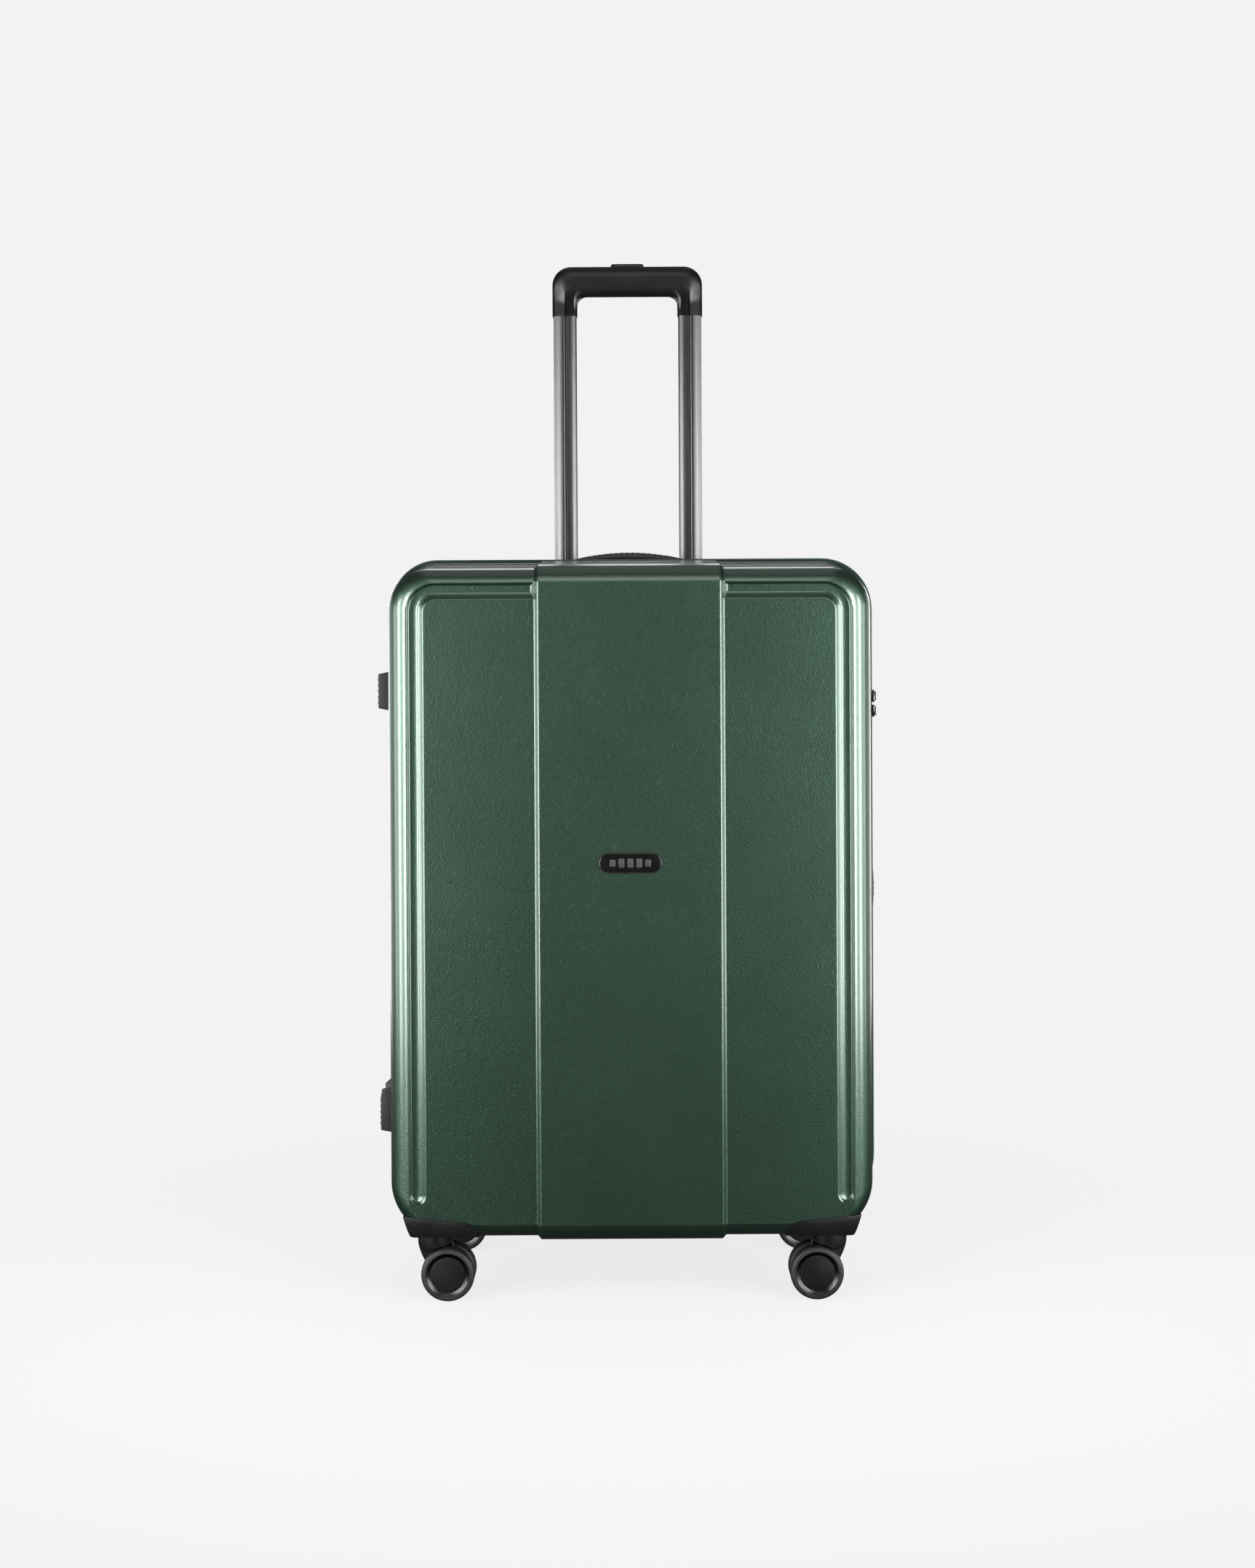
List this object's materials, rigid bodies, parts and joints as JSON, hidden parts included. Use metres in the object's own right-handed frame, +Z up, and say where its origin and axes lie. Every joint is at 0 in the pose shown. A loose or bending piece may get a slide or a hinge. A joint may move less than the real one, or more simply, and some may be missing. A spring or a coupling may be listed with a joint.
{
  "type": "hard shell suitcase",
  "caption": "Upright hard shell suitcase with a raised centre strip, zip closure, extended pull handle, carry handles, combination lock and twin-wheel casters.",
  "frame": {"origin": "on the floor under the middle of the case", "axes": "+X across the case towards the side handle, +Y from the front shell to the rear shell, +Z up along the case"},
  "size_m": [0.536, 0.31, 1.107],
  "materials": {
    "shell_plastic": "satin metallic dark green polycarbonate with a fine leather grain",
    "black_plastic": "matte black moulded plastic",
    "soft_black": "soft touch matte black",
    "gloss_black": "glossy black",
    "grey_aluminium": "brushed grey anodised",
    "dark_steel": "dark polished metal",
    "hub_metal": "satin dark chrome bevel ring round a matte black cap",
    "tyre_rubber": "black polyurethane tyre",
    "zip_tape": "woven dark green tape with a coil",
    "lining_fabric": "dark grey woven polyester"
  },
  "bodies": {
    "rear_case": {"rear_shell": "shell_plastic", "rear_zip": "zip_tape", "rear_lining": "lining_fabric", "rear_upper_foot": "black_plastic", "rear_lower_foot": "black_plastic", "rear_left_caster_housing": "black_plastic", "rear_right_caster_housing": "black_plastic", "top_handle_base": "black_plastic", "side_handle_base": "black_plastic", "lock_body": "black_plastic", "trolley_bezel": "black_plastic", "trolley_guide": "grey_aluminium", "hinge_strip": "lining_fabric"},
    "front_case": {"front_shell": "shell_plastic", "front_zip": "zip_tape", "front_lining": "lining_fabric", "front_upper_foot": "black_plastic", "front_lower_foot": "black_plastic", "front_left_caster_housing": "black_plastic", "front_right_caster_housing": "black_plastic", "badge": "gloss_black"},
    "pull_handle": {"left_pull_tube": "grey_aluminium", "right_pull_tube": "grey_aluminium", "grip": "soft_black"},
    "release_button": {"grip_button": "black_plastic"},
    "top_carry_handle": {"top_handle": "soft_black"},
    "side_carry_handle": {"side_handle": "soft_black"},
    "lock_release": {"lock_button": "dark_steel"},
    "dial_1": {"lock_dial_1": "black_plastic"},
    "dial_2": {"lock_dial_2": "black_plastic"},
    "dial_3": {"lock_dial_3": "black_plastic"},
    "upper_slider": {"upper_zip_slider": "dark_steel"},
    "upper_pull": {"upper_zip_pull": "dark_steel"},
    "lower_slider": {"lower_zip_slider": "dark_steel"},
    "lower_pull": {"lower_zip_pull": "dark_steel"},
    "front_left_caster": {"front_left_caster_fork": "black_plastic", "front_left_axle": "dark_steel"},
    "front_left_outer_wheel": {"front_left_outer_tyre": "tyre_rubber", "front_left_outer_hub": "hub_metal"},
    "front_left_inner_wheel": {"front_left_inner_tyre": "tyre_rubber", "front_left_inner_hub": "hub_metal"},
    "front_right_caster": {"front_right_caster_fork": "black_plastic", "front_right_axle": "dark_steel"},
    "front_right_outer_wheel": {"front_right_outer_tyre": "tyre_rubber", "front_right_outer_hub": "hub_metal"},
    "front_right_inner_wheel": {"front_right_inner_tyre": "tyre_rubber", "front_right_inner_hub": "hub_metal"},
    "rear_left_caster": {"rear_left_caster_fork": "black_plastic", "rear_left_axle": "dark_steel"},
    "rear_left_outer_wheel": {"rear_left_outer_tyre": "tyre_rubber", "rear_left_outer_hub": "hub_metal"},
    "rear_left_inner_wheel": {"rear_left_inner_tyre": "tyre_rubber", "rear_left_inner_hub": "hub_metal"},
    "rear_right_caster": {"rear_right_caster_fork": "black_plastic", "rear_right_axle": "dark_steel"},
    "rear_right_outer_wheel": {"rear_right_outer_tyre": "tyre_rubber", "rear_right_outer_hub": "hub_metal"},
    "rear_right_inner_wheel": {"rear_right_inner_tyre": "tyre_rubber", "rear_right_inner_hub": "hub_metal"}
  },
  "joints": [
    {"name": "case_opening", "type": "hinge", "parent": "rear_case", "child": "front_case", "pos_m": [-0.27, 0, 0.415], "axis": [0, 0, -1], "range_deg": [0, 180]},
    {"name": "extending_handle", "type": "slide", "parent": "rear_case", "child": "pull_handle", "axis": [0, 0, 1], "range_m": [-0.335, 0]},
    {"name": "grip_release_button", "type": "slide", "parent": "pull_handle", "child": "release_button", "axis": [0, 0, -1], "range_m": [0, 0.002], "stiffness_N_per_m": 800, "springref_m": -0.001},
    {"name": "carry_handle_side", "type": "slide", "parent": "rear_case", "child": "side_carry_handle", "axis": [0.9964, 0.0843, 0], "range_m": [0, 0.008], "stiffness_N_per_m": 300, "springref_m": -0.002},
    {"name": "carry_handle_top", "type": "slide", "parent": "rear_case", "child": "top_carry_handle", "axis": [0, 0.0843, 0.9964], "range_m": [0, 0.008], "stiffness_N_per_m": 300, "springref_m": -0.002},
    {"name": "lock_button_press", "type": "slide", "parent": "rear_case", "child": "lock_release", "axis": [-0.9964, -0.0843, 0], "range_m": [0, 0.002], "stiffness_N_per_m": 500, "springref_m": -0.001},
    {"name": "lock_dial_1_turn", "type": "hinge", "parent": "rear_case", "child": "dial_1", "pos_m": [0.25491, 0.03305, 0.578], "axis": [0, 0, 1], "continuous": true},
    {"name": "lock_dial_2_turn", "type": "hinge", "parent": "rear_case", "child": "dial_2", "pos_m": [0.25491, 0.03305, 0.586], "axis": [0, 0, 1], "continuous": true},
    {"name": "lock_dial_3_turn", "type": "hinge", "parent": "rear_case", "child": "dial_3", "pos_m": [0.25491, 0.03305, 0.594], "axis": [0, 0, 1], "continuous": true},
    {"name": "zip_slider_upper", "type": "slide", "parent": "rear_case", "child": "upper_slider", "axis": [0, 0, 1], "range_m": [0, 0.085]},
    {"name": "zip_tab_upper", "type": "hinge", "parent": "upper_slider", "child": "upper_pull", "pos_m": [0.2662, 0, 0.62], "axis": [0, 0, -1], "range_deg": [0, 160]},
    {"name": "zip_slider_lower", "type": "slide", "parent": "rear_case", "child": "lower_slider", "axis": [0, 0, 1], "range_m": [-0.46, 0]},
    {"name": "zip_tab_lower", "type": "hinge", "parent": "lower_slider", "child": "lower_pull", "pos_m": [0.2662, 0, 0.604], "axis": [0, 0, -1], "range_deg": [0, 160]},
    {"name": "swivel_front_left", "type": "hinge", "parent": "front_case", "child": "front_left_caster", "pos_m": [-0.204, -0.102, 0.0677], "axis": [0, 0, 1], "continuous": true},
    {"name": "wheel_front_left_outer", "type": "hinge", "parent": "front_left_caster", "child": "front_left_outer_wheel", "pos_m": [-0.19, -0.102, 0.0275], "axis": [0, 1, 0], "continuous": true},
    {"name": "wheel_front_left_inner", "type": "hinge", "parent": "front_left_caster", "child": "front_left_inner_wheel", "pos_m": [-0.19, -0.102, 0.0275], "axis": [0, 1, 0], "continuous": true},
    {"name": "swivel_front_right", "type": "hinge", "parent": "front_case", "child": "front_right_caster", "pos_m": [0.204, -0.102, 0.0677], "axis": [0, 0, 1], "continuous": true},
    {"name": "wheel_front_right_outer", "type": "hinge", "parent": "front_right_caster", "child": "front_right_outer_wheel", "pos_m": [0.19, -0.102, 0.0275], "axis": [0, 1, 0], "continuous": true},
    {"name": "wheel_front_right_inner", "type": "hinge", "parent": "front_right_caster", "child": "front_right_inner_wheel", "pos_m": [0.19, -0.102, 0.0275], "axis": [0, 1, 0], "continuous": true},
    {"name": "swivel_rear_left", "type": "hinge", "parent": "rear_case", "child": "rear_left_caster", "pos_m": [-0.204, 0.102, 0.0677], "axis": [0, 0, 1], "continuous": true},
    {"name": "wheel_rear_left_outer", "type": "hinge", "parent": "rear_left_caster", "child": "rear_left_outer_wheel", "pos_m": [-0.19, 0.102, 0.0275], "axis": [0, 1, 0], "continuous": true},
    {"name": "wheel_rear_left_inner", "type": "hinge", "parent": "rear_left_caster", "child": "rear_left_inner_wheel", "pos_m": [-0.19, 0.102, 0.0275], "axis": [0, 1, 0], "continuous": true},
    {"name": "swivel_rear_right", "type": "hinge", "parent": "rear_case", "child": "rear_right_caster", "pos_m": [0.204, 0.102, 0.0677], "axis": [0, 0, 1], "continuous": true},
    {"name": "wheel_rear_right_outer", "type": "hinge", "parent": "rear_right_caster", "child": "rear_right_outer_wheel", "pos_m": [0.19, 0.102, 0.0275], "axis": [0, 1, 0], "continuous": true},
    {"name": "wheel_rear_right_inner", "type": "hinge", "parent": "rear_right_caster", "child": "rear_right_inner_wheel", "pos_m": [0.19, 0.102, 0.0275], "axis": [0, 1, 0], "continuous": true}
  ]
}
